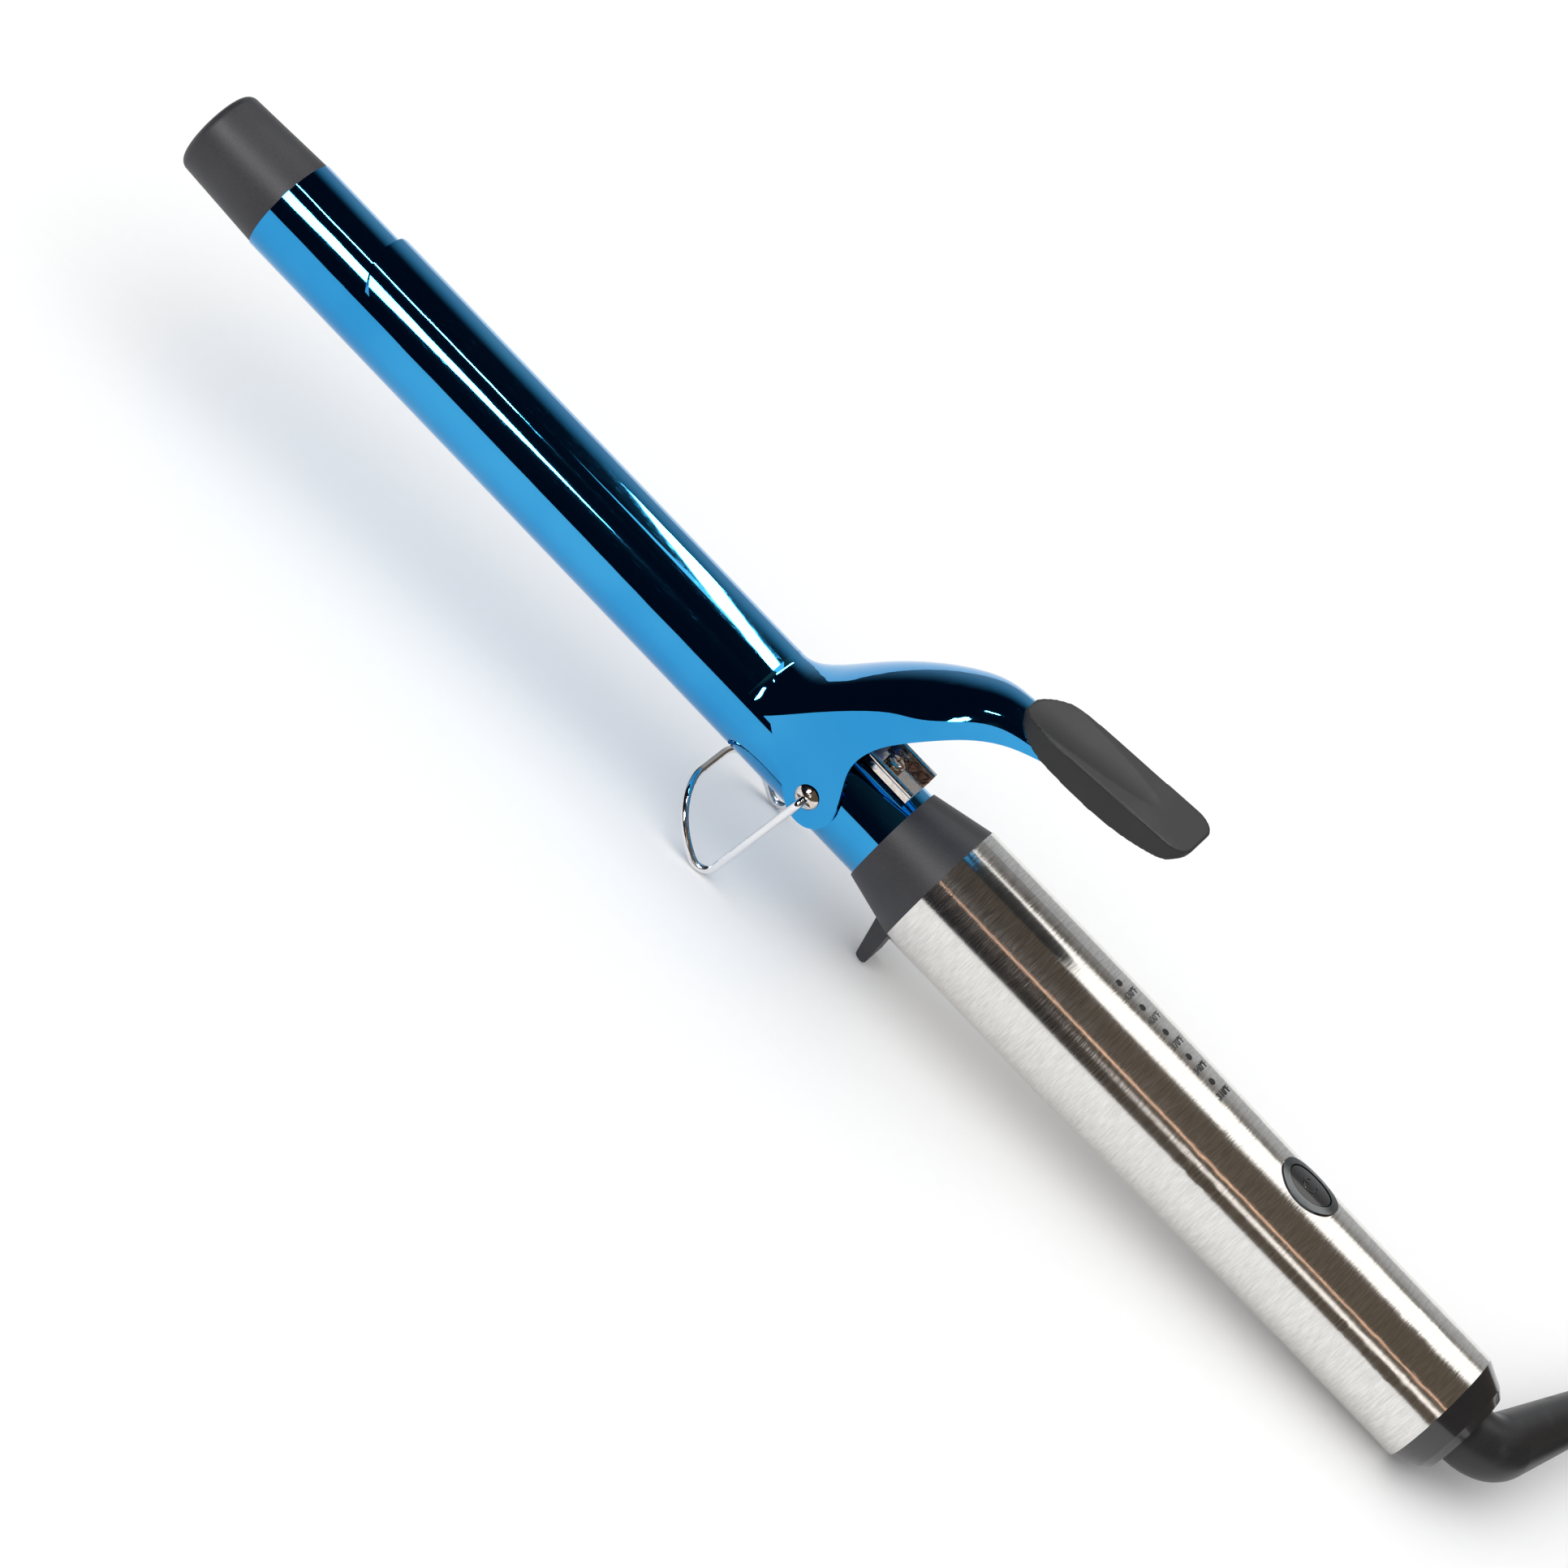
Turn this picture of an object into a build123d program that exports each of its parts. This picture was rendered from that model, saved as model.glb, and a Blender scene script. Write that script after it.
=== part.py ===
from build123d import *
from math import cos, pi, radians, sin, tan
import os

# A one-inch spring clamp curling iron on its wire stand.
# The iron's own coordinates: x runs along the barrel from the tip (-) to the cord end (+) with x = 0 at
# the lever pivot, y runs across, z points to the lever side. Millimetres.

# Stance: the iron leans back on the stand's two wire feet and the end of the handle
lean = radians(4.72)
axis_height = 32.1
pivot_x = 0.4

# Barrel and tip
barrel_r = 12.7
barrel_bore = 11.9
barrel_front = -182.0
barrel_rear = 38.0
tip_front = -207.0
tip_radii = (11.4, 12.45)

# Clamp: one pressed sheet, from the spoon-shaped clip to the thumb lever
sheet = 0.9
clip_bore = 13.0
clip_front = -157.6
clip_rear = -26.0
clip_half_y = 12.6
clip_corner = 9.5
lobe_centre = (1.2, -0.3)
lobe_r = 6.5
# Stations of the lever arm: x, half width, height where the roof springs, roof, roof thickness upright
arm_stations = [
    (-26.0, 13.75, 2.625, 14.0, 1.6),
    (-20.0, 14.05, 6.8, 15.8, 1.3),
    (-15.0, 14.15, 13.6, 21.6, 1.6),
    (-9.5, 14.15, 21.2, 29.2, 1.6),
    (-3.9, 14.15, 28.2, 35.8, 1.5),
    (1.7, 14.15, 33.8, 41.3, 1.35),
    (8.0, 14.15, 39.0, 46.2, 1.2),
    (13.0, 12.0, 43.4, 49.2, 1.1),
    (18.5, 9.2, 46.8, 51.1, 1.0),
    (26.0, 7.6, 48.9, 52.2, 0.95),
    (36.0, 7.3, 49.4, 52.6, 0.95),
]

# Thumb rest
rest_half = 9.3
rest_front = 20.2
rest_rear = 69.2
rest_nose = 12.8
rest_dish_r = 22.6

# Pivot screws, hollow-headed to take the ends of the stand wire
shank_r = 1.9
head_r = 3.1
head_seat = 14.45
head_height = 1.5
running = 0.05

# Stand wire
wire_r = 1.0
wire_leg_y = 17.3
foot = (-4.5, 19.6, -34.2)
bow_front = (-22.7, 19.6, -22.5)

# Ferrule and handle
ferrule_front = 19.0
ferrule_rear = 34.6
ferrule_radii = (13.2, 16.75)
sleeve_front_r = 17.0
sleeve_line = [(76.0, 17.0), (110.0, 16.62), (140.0, 16.12), (170.0, 15.77), (198.0, 15.75)]
sleeve_wall = 0.8
core_r = 14.7
core_wall = 1.8
core_ends = (44.0, 184.0)

# Electronics, indicators and button
board_z = 5.0
board_thick = 1.6
board_ends = (62.0, 158.0)
board_half = 10.5
post_x = (68.0, 154.0)
dot_x = [79.0 + 7.6 * n for n in range(5)]
dot_r = 0.9
button_x = 141.6
bezel_radii = (8.15, 6.2)
button_radii = (5.9, 4.2)
button_gap = 0.3
button_travel = 0.5
switch_top = 10.4

# End cap and swivelling cord gland
cap_face = 206.0
gland_r = 7.8
gland_front = 188.0
elbow_x = 212.5
elbow_turn = radians(72.5)
elbow_bend = 8.8
relief_length = 60.8
relief_end_r = 4.6

# Mains lead, in the room's own coordinates
cord_r = 3.5
coil_centre = (297.1, 62.5)
coil_radii = (24.5, 52.5)
coil_heights = (0.8, 14.8)
plug_start = (321.0, 1.0, 7.5)
plug_turn = 195.0
tie_turn = 250.0
tie_sheet = 0.8

iron = Plane(
    origin=(pivot_x, 0, axis_height), x_dir=(cos(lean), 0, -sin(lean)), z_dir=(sin(lean), 0, cos(lean))
)
side = Plane(origin=iron.origin, x_dir=iron.x_dir, z_dir=(0, -1, 0))
barrel_axis = Axis(iron.origin, iron.x_dir)
pivot_axis = Axis(iron.origin, (0, 1, 0))
middle = Plane.XZ
finished = []


def at(x, y, z):
    """A point of the iron's own coordinates, in the room's."""
    return iron.from_local_coords((x, y, z))


def station(x):
    """The plane across the barrel at x: sketches hold (y, z) and extrude towards the cord."""
    return Plane(origin=at(x, 0, 0), x_dir=(0, 1, 0), z_dir=iron.x_dir)


def level(z):
    """The plane along the barrel at height z: sketches hold (x, y) and extrude upwards."""
    return Plane(origin=at(0, 0, z), x_dir=iron.x_dir, z_dir=iron.z_dir)


def keep(piece, label):
    """Names a finished piece and puts it by for writing."""
    piece.part.label = label
    finished.append(piece.part)


def sleeve_r(x):
    """The handle's outer radius at x."""
    for (x0, r0), (x1, r1) in zip(sleeve_line, sleeve_line[1:]):
        if x0 <= x <= x1:
            return r0 + (r1 - r0) * (x - x0) / (x1 - x0)


def turned(*outline):
    """A round piece about the barrel's axis, from its half outline in (x, radius)."""
    with BuildPart() as piece:
        with BuildSketch(side):
            with BuildLine():
                Polyline(*outline, close=True)
            make_face()
        revolve(axis=barrel_axis)
    return piece


def wire(points, radius):
    """A round wire along a smooth curve through points of the iron's own coordinates."""
    with BuildPart() as piece:
        with BuildLine() as path:
            Spline(*[at(*point) for point in points])
        with BuildSketch(Plane(origin=path.line @ 0, z_dir=path.line % 0)):
            Circle(radius)
        sweep(path=path.line)
    return piece


def cord_run(points):
    """A stretch of the lead through points of the room's coordinates."""
    points = [Vector(*point) for point in points]
    radii = []
    for before, corner, after in zip(points, points[1:], points[2:]):
        shorter = min((corner - before).length, (after - corner).length)
        half_turn = radians((corner - before).get_angle(after - corner)) / 2
        radii.append(0.45 * shorter / tan(half_turn))
    print("cord bend radii", [round(radius, 1) for radius in radii])
    with BuildPart() as piece:
        with BuildLine() as path:
            FilletPolyline(*points, radius=radii)
        with BuildSketch(Plane(origin=path.line @ 0, z_dir=path.line % 0)):
            Circle(cord_r)
        sweep(path=path.line)
    swept = pi * cord_r**2 * sum(edge.length for edge in path.edges())
    print("cord volume", round(piece.part.volume, 1), "of", round(swept, 1))
    return piece


# ---------------------------------------------------------------- barrel and heater
with BuildPart() as barrel_tube:
    with BuildSketch(station(barrel_front)):
        Circle(barrel_r)
        Circle(barrel_bore, mode=Mode.SUBTRACT)
    extrude(amount=barrel_rear - barrel_front)
    with BuildSketch(side):
        Circle(shank_r)
    extrude(amount=barrel_r + 1, both=True, mode=Mode.SUBTRACT)
    with BuildSketch(level(0)):
        with Locations((8.2, 0)):
            Circle(1.3)
    extrude(amount=barrel_r + 1, mode=Mode.SUBTRACT)
keep(barrel_tube, "barrel_tube")

with BuildPart() as tip_cap:
    with BuildSketch(side):
        with BuildLine():
            Line((tip_front + 2.4, 0), (tip_front + 0.0, 0))
            Line((tip_front, 0), (tip_front, tip_radii[0] - 2.2))
            RadiusArc((tip_front, tip_radii[0] - 2.2), (tip_front + 2.2, tip_radii[0]), 2.2)
            Polyline(
                (tip_front + 2.2, tip_radii[0]),
                (barrel_front, tip_radii[1]),
                (barrel_front, barrel_bore - running),
                (barrel_front + 9, barrel_bore - running),
                (barrel_front + 9, 9.6),
                (tip_front + 2.4, 9.0),
                (tip_front + 2.4, 0),
            )
        make_face()
    revolve(axis=barrel_axis)
keep(tip_cap, "tip_cap")

with BuildPart() as heater_element:
    with BuildSketch(level(-1)):
        with Locations((-102, 0)):
            RectangleRounded(116, 11, 1)
    extrude(amount=2)
keep(heater_element, "heater_element")

for label, turn in [("heat_spreader_upper", 0), ("heat_spreader_lower", 180)]:
    with BuildPart() as heat_spreader:
        with BuildSketch(station(-158)):
            with Locations(Rotation(0, 0, turn)):
                Circle(barrel_bore)
                Circle(9.6, mode=Mode.SUBTRACT)
                Rectangle(30, 15, align=(Align.CENTER, Align.MAX), mode=Mode.SUBTRACT)
        extrude(amount=108)
        with BuildSketch(station(-158)):
            with Locations((0, 2.0 * cos(radians(turn)))):
                Rectangle(19.4, 2)
        extrude(amount=108)
        with BuildSketch(station(-158)):
            Rectangle(30, 2)
        extrude(amount=108, mode=Mode.SUBTRACT)
    keep(heat_spreader, label)

with BuildPart() as thermistor:
    with BuildSketch(level(1)):
        with Locations((-47, 0)):
            RectangleRounded(4.4, 2.6, 0.6)
    extrude(amount=1.6)
keep(thermistor, "thermistor")

with BuildPart() as heater_leads:
    for across in (-1, 1):
        run = [(-48, 3.0), (-20, 2.6), (30, 3.0), (62, 5.0), (68, 5.0)]
        heights = [1.9, 2.2, 3.0, 7.5, 7.5]
        lead = wire([(x, y * across, z) for (x, y), z in zip(run, heights)], 0.9)
        add(lead.part)
keep(heater_leads, "heater_leads")

# ---------------------------------------------------------------- lever pivot
with BuildPart() as pivot_inserts:
    with BuildSketch(side):
        RegularPolygon(3.9, 6)
    extrude(amount=barrel_r, both=True)
    with BuildSketch(station(-6)):
        Circle(barrel_bore)
        Rectangle(16, 30, mode=Mode.SUBTRACT)
    extrude(amount=12, mode=Mode.INTERSECT)
    with BuildSketch(side):
        Circle(shank_r)
    extrude(amount=barrel_r, both=True, mode=Mode.SUBTRACT)
keep(pivot_inserts, "pivot_inserts")

with BuildPart() as pivot_screws:
    with BuildSketch(level(0)):
        with BuildLine():
            Line((wire_r + running, -head_seat - head_height), (wire_r + running, -12.2))
            Polyline((wire_r + running, -12.2), (0, -12.2), (0, -8), (shank_r, -8), (shank_r, -head_seat))
            Line((shank_r, -head_seat), (head_r, -head_seat))
            RadiusArc((head_r, -head_seat), (wire_r + running, -head_seat - head_height), 4)
        make_face()
    revolve(axis=pivot_axis)
    with BuildSketch(side.offset(head_seat + head_height - 0.7)):
        Rectangle(4.4, 0.8)
        Rectangle(0.8, 4.4)
    extrude(amount=1, mode=Mode.SUBTRACT)
    mirror(about=middle)
keep(pivot_screws, "pivot_screws")

# ---------------------------------------------------------------- clamp
def arm_block(walls):
    """The lever arm as a solid arch: walls = 0 outside the sheet, 1 inside it."""
    with BuildPart() as block:
        for x, half, spring, roof, thick in arm_stations:
            half = half - 0.95 * walls
            roof = roof - thick * walls
            spring = spring - 0.3 * walls
            with BuildSketch(station(x)):
                with BuildLine():
                    Polyline((half, spring), (half, -9), (-half, -9), (-half, spring))
                    ThreePointArc((-half, spring), (0, roof), (half, spring))
                make_face()
        loft()
    return block


arm_outside = arm_block(0)
with BuildPart() as clamp_arm:
    add(arm_outside.part)
    add(arm_block(1).part, mode=Mode.SUBTRACT)
    with BuildSketch(side):
        with BuildLine():
            lobe = CenterArc(lobe_centre, lobe_r, 222, 153)
            Polyline(lobe @ 0, (-17.5, 6.95), (-26, 6.95), (-26, 60), (36.5, 60), (36.5, 50))
            Spline(
                lobe @ 1,
                (4.8, 8.3),
                (2.6, 14),
                (3, 20.5),
                (6, 27.5),
                (11, 34.2),
                (17, 40),
                (25, 45.3),
                (36.5, 50),
                tangents=(lobe % 1, (1, 0.35)),
            )
        make_face()
    extrude(amount=20, both=True, mode=Mode.INTERSECT)

with BuildPart() as clamp:
    with BuildSketch(station(clip_front)):
        Circle(clip_bore + sheet)
        Circle(clip_bore, mode=Mode.SUBTRACT)
        with BuildLine():
            Polyline((0, 0), (26, 15), (26, 30), (-26, 30), (-26, 15), close=True)
        make_face(mode=Mode.INTERSECT)
    extrude(amount=clip_rear - clip_front)
    with BuildSketch(level(0)) as tongue:
        with Locations((clip_front, 0)):
            Rectangle(140, 2 * clip_half_y, align=(Align.MIN, Align.CENTER))
        fillet(tongue.vertices().group_by(Axis.X)[0], clip_corner)
    extrude(amount=20, mode=Mode.INTERSECT)
    add(clamp_arm.part)
    with BuildSketch(station(-30)):
        Circle(clip_bore)
    extrude(amount=50, mode=Mode.SUBTRACT)
    with BuildSketch(side):
        Circle(shank_r + running)
    extrude(amount=20, both=True, mode=Mode.SUBTRACT)
    with BuildSketch(level(45)):
        with Locations((30, 0)):
            Circle(0.9)
    extrude(amount=15, mode=Mode.SUBTRACT)
keep(clamp, "clamp")

with BuildPart() as thumb_rest:
    with BuildSketch(side):
        with BuildLine():
            Polyline((rest_front + 0.8, 50.8), (rest_front, 54.2), (rest_rear, 59.1), (rest_rear - 0.4, 57.0), (66.4, 54.7))
            Spline(
                (66.4, 54.7),
                (60, 52.2),
                (52, 50.3),
                (44, 49.4),
                (36, 49.2),
                (28, 49.5),
                (rest_front + 0.8, 50.8),
            )
        make_face()
    extrude(amount=rest_half, both=True)
    with BuildSketch(level(40)) as outline:
        with Locations((rest_front + rest_nose, 0)):
            Ellipse(rest_nose, rest_half)
            Rectangle(rest_rear - rest_front - rest_nose, 2 * rest_half, align=(Align.MIN, Align.CENTER))
        fillet(outline.vertices().group_by(Axis.X)[-1], 5.5)
    extrude(amount=25, mode=Mode.INTERSECT)
    along = at(rest_rear, 0, 61.6) - at(rest_front, 0, 54.2)
    with BuildSketch(Plane(origin=at(10, 0, 52.8), x_dir=(0, 1, 0), z_dir=along)):
        with Locations((0, rest_dish_r - 2)):
            Circle(rest_dish_r)
    extrude(amount=70, mode=Mode.SUBTRACT)
    add(arm_outside.part, mode=Mode.SUBTRACT)
    with BuildSketch(level(30)):
        with Locations((30, 0)):
            Circle(0.9)
    extrude(amount=22.2, mode=Mode.SUBTRACT)
keep(thumb_rest, "thumb_rest")

with BuildPart() as thumb_rest_screw:
    with BuildSketch(level(0)):
        with Locations((30, 0)):
            Circle(0.85)
    extrude(amount=52.0)
    with BuildSketch(level(0)):
        with Locations((30, 0)):
            Rectangle(8, 8)
    extrude(amount=50.1, mode=Mode.SUBTRACT)
    with BuildSketch(level(50.1)):
        with Locations((30, 0)):
            Circle(1.9)
    extrude(amount=1.2)
keep(thumb_rest_screw, "thumb_rest_screw")

# ---------------------------------------------------------------- return spring
with BuildPart() as spring_bracket:
    with BuildSketch(station(-6)):
        with BuildLine():
            Polyline(
                (-5.9, 15.4), (-5.9, 12.72), (5.9, 12.72), (5.9, 15.4), (5.1, 15.4), (5.1, 13.52),
                (-5.1, 13.52), (-5.1, 15.4), close=True,
            )
        make_face()
    extrude(amount=22.4)
    with BuildSketch(station(-6)):
        with Locations((5.9, 15.4), (-5.9, 15.4)):
            Circle(0.8)
    extrude(amount=22.4)
    with BuildSketch(level(0)):
        with Locations((8.2, 0)):
            Circle(1.3)
    extrude(amount=20, mode=Mode.SUBTRACT)
keep(spring_bracket, "spring_bracket")

with BuildPart() as bracket_screw:
    with BuildSketch(level(9)):
        with Locations((8.2, 0)):
            Circle(1.3)
    extrude(amount=4.52)
    with BuildSketch(level(13.52)):
        with Locations((8.2, 0)):
            Circle(2.4)
    extrude(amount=1.9)
    fillet(bracket_screw.edges().filter_by(GeomType.CIRCLE).sort_by(Axis.Z)[-1], 1.1)
    with BuildSketch(level(14.7)):
        with Locations((8.2, 0)):
            Rectangle(2.8, 0.6)
            Rectangle(0.6, 2.8)
    extrude(amount=1, mode=Mode.SUBTRACT)
keep(bracket_screw, "bracket_screw")

with BuildPart() as return_spring:
    with BuildSketch(side):
        with BuildLine() as leaf:
            Line((4.5, 13.8), (-5, 13.8))
            JernArc((-5, 13.8), (-1, 0), 2.6, -128)
            Line(leaf.line @ 1, (5.6, 42.2))
        trace(line_width=0.55)
    extrude(amount=4, both=True)
keep(return_spring, "return_spring")

# ---------------------------------------------------------------- stand
with BuildPart() as stand_wire:
    with BuildLine() as bow:
        FilletPolyline(
            at(0, -12.8, 0),
            at(0, -wire_leg_y, 0),
            at(foot[0], -foot[1], foot[2]),
            at(bow_front[0], -bow_front[1], bow_front[2]),
            at(*bow_front),
            at(*foot),
            at(0, wire_leg_y, 0),
            at(0, 12.8, 0),
            radius=[1.8, 3.5, 14.5, 14.5, 3.5, 1.8],
        )
    with BuildSketch(Plane(origin=bow.line @ 0, z_dir=bow.line % 0)):
        Circle(wire_r)
    sweep(path=bow.line)
keep(stand_wire, "stand_wire")

# ---------------------------------------------------------------- ferrule and handle
with BuildPart() as ferrule:
    with BuildSketch(side):
        with BuildLine():
            Polyline(
                (ferrule_front, barrel_r + 0.02),
                (ferrule_front, ferrule_radii[0]),
                (ferrule_rear, ferrule_radii[1]),
                (ferrule_rear, sleeve_front_r - sleeve_wall - running),
                (43, sleeve_front_r - sleeve_wall - running),
                (43, barrel_r + 0.02),
                close=True,
            )
        make_face()
    revolve(axis=barrel_axis)
    with BuildSketch(side) as tab:
        with BuildLine():
            Polyline((29.5, -15.0), (32.3, -28.0), (35.4, -28.6), (34.55, -15.0), close=True)
        make_face()
        fillet(tab.vertices().group_by(Axis.Z)[0], 1.1)
    extrude(amount=4.2, both=True)
keep(ferrule, "ferrule")

with BuildPart() as handle_sleeve:
    with BuildSketch(side):
        with BuildLine():
            outer = Spline(*sleeve_line, tangents=((1, 0), (1, 0)))
            inner = Spline(*[(x, r - sleeve_wall) for x, r in sleeve_line], tangents=((1, 0), (1, 0)))
            Polyline(
                outer @ 0,
                (ferrule_rear, sleeve_front_r),
                (ferrule_rear, sleeve_front_r - sleeve_wall),
                inner @ 0,
            )
            Line(outer @ 1, inner @ 1)
        make_face()
    revolve(axis=barrel_axis)
    with BuildSketch(level(0)):
        with Locations(*[(x, 0) for x in dot_x]):
            Circle(dot_r)
        with Locations((button_x, 0)):
            Ellipse(*bezel_radii)
    extrude(amount=20, mode=Mode.SUBTRACT)
keep(handle_sleeve, "handle_sleeve")


def core_shell():
    """The handle's whole inner shell, before it is parted."""
    return turned(
        (core_ends[0], core_r - core_wall),
        (core_ends[0], 16.1),
        (core_ends[0] + 4, 16.1),
        (core_ends[0] + 4, core_r),
        (core_ends[1], core_r),
        (core_ends[1], core_r - core_wall),
    )


with BuildPart() as core_upper:
    add(core_shell().part)
    split(bisect_by=level(0), keep=Keep.TOP)
    with BuildSketch(level(0)):
        with Locations((sum(dot_x) / len(dot_x), 0)):
            RectangleRounded(36, 5, 1)
        with Locations((button_x, 0)):
            Ellipse(*bezel_radii)
    extrude(amount=20, mode=Mode.SUBTRACT)
keep(core_upper, "core_upper")

with BuildPart() as core_lower:
    add(core_shell().part)
    split(bisect_by=level(0), keep=Keep.BOTTOM)
    with BuildSketch(level(-13.6)):
        with Locations(*[(x, 0) for x in post_x]):
            Circle(2.6)
    extrude(amount=board_z + 13.6)
    with BuildSketch(level(-2)):
        with Locations(*[(x, 0) for x in post_x]):
            Circle(0.9)
    extrude(amount=board_z + 3, mode=Mode.SUBTRACT)
keep(core_lower, "core_lower")

with BuildPart() as circuit_board:
    with BuildSketch(level(board_z)):
        with Locations((sum(board_ends) / 2, 0)):
            RectangleRounded(board_ends[1] - board_ends[0], 2 * board_half, 1)
        with Locations(*[(x, 0) for x in post_x]):
            Circle(1, mode=Mode.SUBTRACT)
    extrude(amount=board_thick)
keep(circuit_board, "circuit_board")

with BuildPart() as board_screws:
    with BuildSketch(level(-1)):
        with Locations(*[(x, 0) for x in post_x]):
            Circle(0.9)
    extrude(amount=board_z + board_thick + 1)
    with BuildSketch(level(board_z + board_thick)):
        with Locations(*[(x, 0) for x in post_x]):
            Circle(1.9)
    extrude(amount=1.2)
keep(board_screws, "board_screws")

with BuildPart() as power_relay:
    with BuildSketch(level(board_z + board_thick)):
        with Locations((124, 0)):
            RectangleRounded(14, 8, 0.6)
    extrude(amount=4.4)
keep(power_relay, "power_relay")

with BuildPart() as power_switch:
    with BuildSketch(level(board_z + board_thick)):
        with Locations((button_x, 0)):
            RectangleRounded(6, 6, 0.4)
    extrude(amount=3)
    with BuildSketch(level(board_z + board_thick + 3)):
        with Locations((button_x, 0)):
            Circle(1.6)
    extrude(amount=switch_top - board_z - board_thick - 3)
keep(power_switch, "power_switch")

with BuildPart() as indicator_leds:
    with BuildSketch(level(board_z + board_thick)):
        with Locations(*[(x, 0) for x in dot_x]):
            Rectangle(2, 1.4)
    extrude(amount=0.9)
keep(indicator_leds, "indicator_leds")

with BuildPart() as indicator_lenses:
    for x in dot_x:
        with BuildSketch(level(board_z + board_thick + 0.9)):
            with Locations((x, 0)):
                Circle(dot_r)
        extrude(amount=sleeve_r(x) + 0.1 - board_z - board_thick - 0.9)
keep(indicator_lenses, "indicator_lenses")

with BuildPart() as button_bezel:
    with BuildSketch(level(12.9)):
        with Locations((button_x, 0)):
            Ellipse(*bezel_radii)
            Ellipse(button_radii[0] + button_gap, button_radii[1] + button_gap, mode=Mode.SUBTRACT)
    extrude(amount=6)
    with BuildSketch(station(button_x - 10)):
        Circle(sleeve_r(button_x) + 0.55)
    extrude(amount=20, mode=Mode.INTERSECT)
keep(button_bezel, "button_bezel")

with BuildPart() as power_button:
    with BuildSketch(level(13.2)):
        with Locations((button_x, 0)):
            Ellipse(*button_radii)
    extrude(amount=6)
    with BuildSketch(station(button_x - 10)):
        Circle(sleeve_r(button_x) + 0.35)
    extrude(amount=20, mode=Mode.INTERSECT)
    with BuildSketch(level(switch_top + button_gap + button_travel)):
        with Locations((button_x, 0)):
            Circle(1.8)
    extrude(amount=3)
keep(power_button, "power_button")

# ---------------------------------------------------------------- end cap and swivelling gland
end_cap = turned(
    (185, 8.6), (185, 14.9), (198, 14.9), (198, 15.75), (204, 12.9), (cap_face, 11.2), (cap_face, 7.9),
    (203.5, 7.9), (203.5, 10.2), (200.5, 10.2), (200.5, 8.6),
)
keep(end_cap, "end_cap")

relief_way = Vector(iron.x_dir) * cos(elbow_turn) + Vector(0, 1, 0) * sin(elbow_turn)
elbow = Vector(at(elbow_x, 0, 0))
bend_reach = elbow_bend * tan(elbow_turn / 2)
relief_end = elbow + relief_way * relief_length
with BuildPart() as swivel_gland:
    with BuildLine() as bend:
        bend_end = elbow + relief_way * (bend_reach + 0.5)
        FilletPolyline(at(gland_front, 0, 0), elbow, bend_end, radius=elbow_bend)
    with BuildSketch(Plane(origin=bend.line @ 0, z_dir=bend.line % 0)):
        Circle(gland_r)
    sweep(path=bend.line)
    with BuildSketch(Plane(origin=elbow + relief_way * (bend_reach + 0.5), z_dir=relief_way)):
        Circle(gland_r)
    with BuildSketch(Plane(origin=relief_end, z_dir=relief_way)):
        Circle(relief_end_r)
    loft()
    with BuildSketch(station(200.6)):
        Circle(10.1)
    extrude(amount=2.8)
keep(swivel_gland, "swivel_gland")

with BuildPart() as slip_rings:
    for x in (189, 194):
        with BuildSketch(station(x)):
            Circle(8.5)
            Circle(gland_r, mode=Mode.SUBTRACT)
        extrude(amount=3)
keep(slip_rings, "slip_rings")

with BuildPart() as supply_leads:
    for across in (-1, 1):
        run = [(150, 6.0), (160, 6.0), (173, 5.0), (gland_front, 4.0)]
        heights = [7.52, 7.6, 3.6, 0.0]
        lead = wire([(x, y * across, z) for (x, y), z in zip(run, heights)], 0.9)
        add(lead.part)
keep(supply_leads, "supply_leads")

# ---------------------------------------------------------------- mains lead
power_cord = cord_run(
    [relief_end, relief_end + relief_way * 15, (242.0, 85.3, 8.2), (254.5, 96.5, 3.9), (268.2, 103.1, 4.3)]
)
keep(power_cord, "power_cord")

plug = Plane(
    origin=plug_start, x_dir=(cos(radians(plug_turn)), sin(radians(plug_turn)), 0), z_dir=(0, 0, 1)
)
plug_across = Plane(origin=plug_start, x_dir=-plug.y_dir, z_dir=plug.x_dir)
cord_tail = cord_run(
    [
        (345.4, 71.0, 11.3),
        (347.6, 54.5, 9.9),
        (346.3, 36.5, 8.6),
        (341.5, 22.0, 7.8),
        (333.0, 8.5, 7.5),
        plug_start,
    ]
)
keep(cord_tail, "cord_tail")

with BuildPart() as cord_coil:
    with BuildSketch(Plane.XY.offset(coil_heights[0])):
        with Locations(coil_centre):
            Circle(coil_radii[1])
            Circle(coil_radii[0], mode=Mode.SUBTRACT)
    extrude(amount=coil_heights[1] - coil_heights[0])
keep(cord_coil, "cord_coil")

with BuildPart() as cord_tie:
    across = Plane(origin=(*coil_centre, 0), z_dir=(0, 0, 1)).rotated((0, 0, tie_turn))
    with BuildSketch(across):
        with Locations(((coil_radii[0] + coil_radii[1]) / 2, 0)):
            RectangleRounded(coil_radii[1] - coil_radii[0] + 2 * tie_sheet + 1.2, 12, 1)
    extrude(amount=coil_heights[1] + tie_sheet)
    add(cord_coil.part, mode=Mode.SUBTRACT)
keep(cord_tie, "cord_tie")

with BuildPart() as plug_body:
    with BuildSketch(plug_across):
        Circle(4.4)
    with BuildSketch(plug_across.offset(15)):
        Circle(6)
    loft()
    with BuildSketch(plug_across.offset(13)):
        RectangleRounded(23, 15, 5)
    extrude(amount=24)
    chamfer(plug_body.faces().sort_by(Axis(plug_start, plug.x_dir))[-1].edges(), 1.2)
keep(plug_body, "plug_body")

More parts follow.
